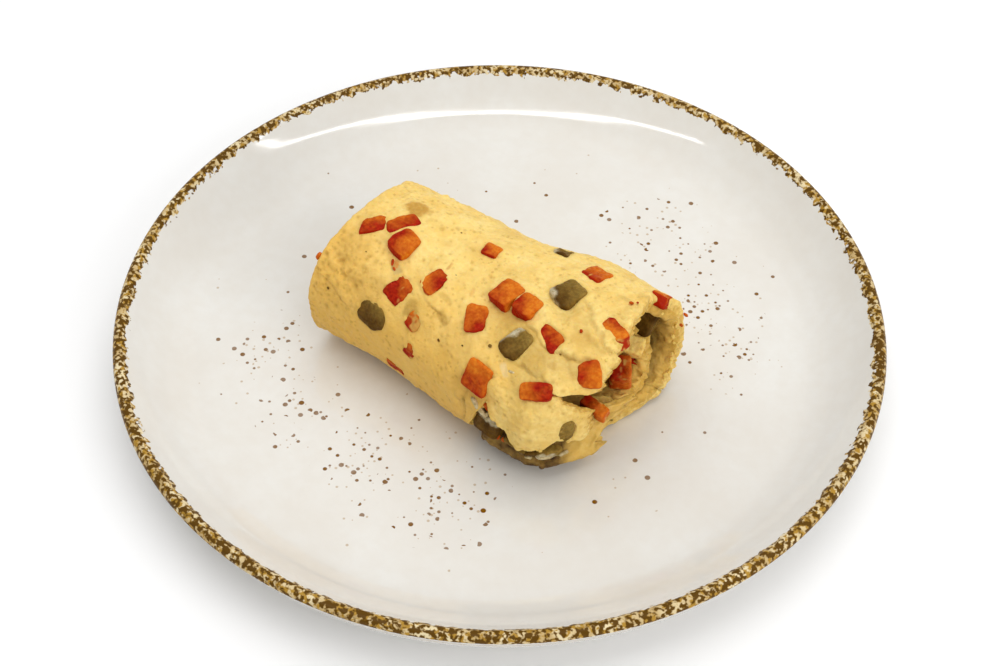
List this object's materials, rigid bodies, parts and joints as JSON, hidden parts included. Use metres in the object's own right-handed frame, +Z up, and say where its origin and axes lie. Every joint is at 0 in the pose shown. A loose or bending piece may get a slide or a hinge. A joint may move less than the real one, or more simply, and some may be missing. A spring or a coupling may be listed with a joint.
{
  "type": "omelette roll on plate",
  "caption": "Rolled egg omelette with diced carrot and mushroom, torn open at one end, lying on a round coupe dinner plate with a mottled rim.",
  "frame": {"origin": "middle of the plate's foot on the table", "axes": "+Z up; +X along the roll towards its torn, open end; -Y towards the roll's near side"},
  "size_m": [0.27, 0.27, 0.0571],
  "materials": {
    "plate_glaze": "glossy off-white glaze with fine brown specks and a mottled brown and gold band round the lip",
    "egg": "soft cooked egg, pale yellow, slightly moist and finely porous",
    "carrot": "cooked carrot, orange with redder cut sides, moist",
    "mushroom": "cooked mushroom, olive brown with a pale grey skin, moist"
  },
  "bodies": {
    "root": {"plate": "plate_glaze", "egg_sheet": "egg", "carrot_01": "carrot", "carrot_02": "carrot", "carrot_03": "carrot", "carrot_04": "carrot", "carrot_05": "carrot", "carrot_06": "carrot", "carrot_07": "carrot", "carrot_08": "carrot", "carrot_09": "carrot", "carrot_10": "carrot", "carrot_11": "carrot", "carrot_12": "carrot", "carrot_13": "carrot", "carrot_14": "carrot", "carrot_15": "carrot", "carrot_16": "carrot", "carrot_17": "carrot", "carrot_18": "carrot", "carrot_19": "carrot", "carrot_20": "carrot", "carrot_21": "carrot", "carrot_22": "carrot", "egg_chunk_01": "egg", "mushroom_01": "mushroom", "mushroom_02": "mushroom", "mushroom_03": "mushroom", "mushroom_04": "mushroom", "mushroom_05": "mushroom", "mushroom_06": "mushroom", "mushroom_07": "mushroom", "mushroom_08": "mushroom", "mushroom_09": "mushroom"}
  },
  "joints": []
}
